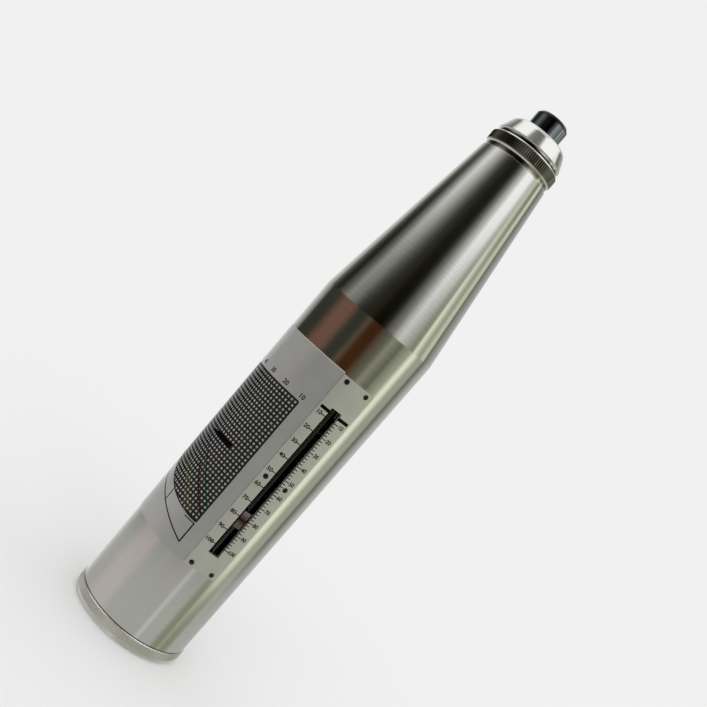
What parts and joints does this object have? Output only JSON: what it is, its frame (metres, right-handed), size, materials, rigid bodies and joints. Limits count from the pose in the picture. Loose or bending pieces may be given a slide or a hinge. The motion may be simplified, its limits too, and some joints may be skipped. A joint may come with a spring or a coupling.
{
  "type": "concrete test hammer",
  "caption": "Cylindrical spring rebound hammer with a conical nose, a spring-loaded plunger, a hidden hammer mass and a rider that reads on a slotted scale.",
  "frame": {"origin": "centre of the rear cap's flat end face, on the hammer's axis", "axes": "+Z along the hammer's axis towards the plunger's tip; -Y out through the reading slot; +Y out through the lock button"},
  "size_m": [0.0558, 0.0602, 0.2743],
  "materials": {
    "satin_aluminium": "turned and brushed round the axis, satin",
    "knurled_aluminium": "straight knurl, satin",
    "polished_cap": "polished",
    "black_steel": "black oxide, glossy",
    "plain_steel": "machined",
    "hard_steel": "hardened, grey",
    "ground_steel": "ground",
    "spring_steel": "drawn wire",
    "bronze": "turned",
    "spring_bronze": "rolled strip",
    "felt": "pressed wool felt",
    "scale_aluminium": "anodised plate with printed scale",
    "label_foil": "printed foil label",
    "rider_plastic": "moulded, with a dark red index line",
    "button_plastic": "moulded, black"
  },
  "bodies": {
    "housing": {"housing": "satin_aluminium", "rear_cap": "knurled_aluminium", "trip_screw": "black_steel", "lock_nut": "plain_steel", "compression_spring": "spring_steel", "impact_spring": "spring_steel", "guide_sleeve": "bronze", "split_ring": "plain_steel", "felt_ring": "felt", "front_cap": "polished_cap", "scale_plate": "scale_aluminium", "plate_screws": "black_steel", "chart_label": "label_foil", "rider_rod": "ground_steel", "rod_blocks": "plain_steel", "button_bush": "polished_cap", "button_spring": "spring_steel"},
    "carriage": {"guide_flange": "plain_steel", "guide_rod": "ground_steel", "pawl_pin": "ground_steel", "pawl_spring": "spring_steel", "plunger": "black_steel", "buffer_spring": "spring_steel"},
    "hammer": {"hammer_mass": "ground_steel"},
    "rider": {"rider": "rider_plastic", "rider_leaf": "spring_bronze"},
    "button": {"button": "button_plastic", "button_clip": "spring_steel"},
    "pawl": {"pawl": "hard_steel"}
  },
  "joints": [
    {"name": "plunger_slide", "type": "slide", "parent": "housing", "child": "carriage", "axis": [0, 0, 1], "range_m": [0, 0.075], "deforming": ["compression_spring"]},
    {"name": "hammer_slide", "type": "slide", "parent": "housing", "child": "hammer", "axis": [0, 0, 1], "range_m": [-0.075, 0], "stiffness_N_per_m": 785, "springref_m": 0.006, "deforming": ["impact_spring"]},
    {"name": "rider_slide", "type": "slide", "parent": "housing", "child": "rider", "axis": [0, 0, 1], "range_m": [-0.014, 0.0534]},
    {"name": "button_slide", "type": "slide", "parent": "housing", "child": "button", "axis": [0, 1, 0], "range_m": [0, 0.003], "deforming": ["button_spring"]},
    {"name": "pawl_pivot", "type": "hinge", "parent": "carriage", "child": "pawl", "pos_m": [0.01533, 0, 0.03775], "axis": [0, 1, 0], "range_deg": [0, 15], "stiffness_Nm_per_rad": 0.02, "springref_deg": -11.46, "deforming": ["pawl_spring"]}
  ]
}
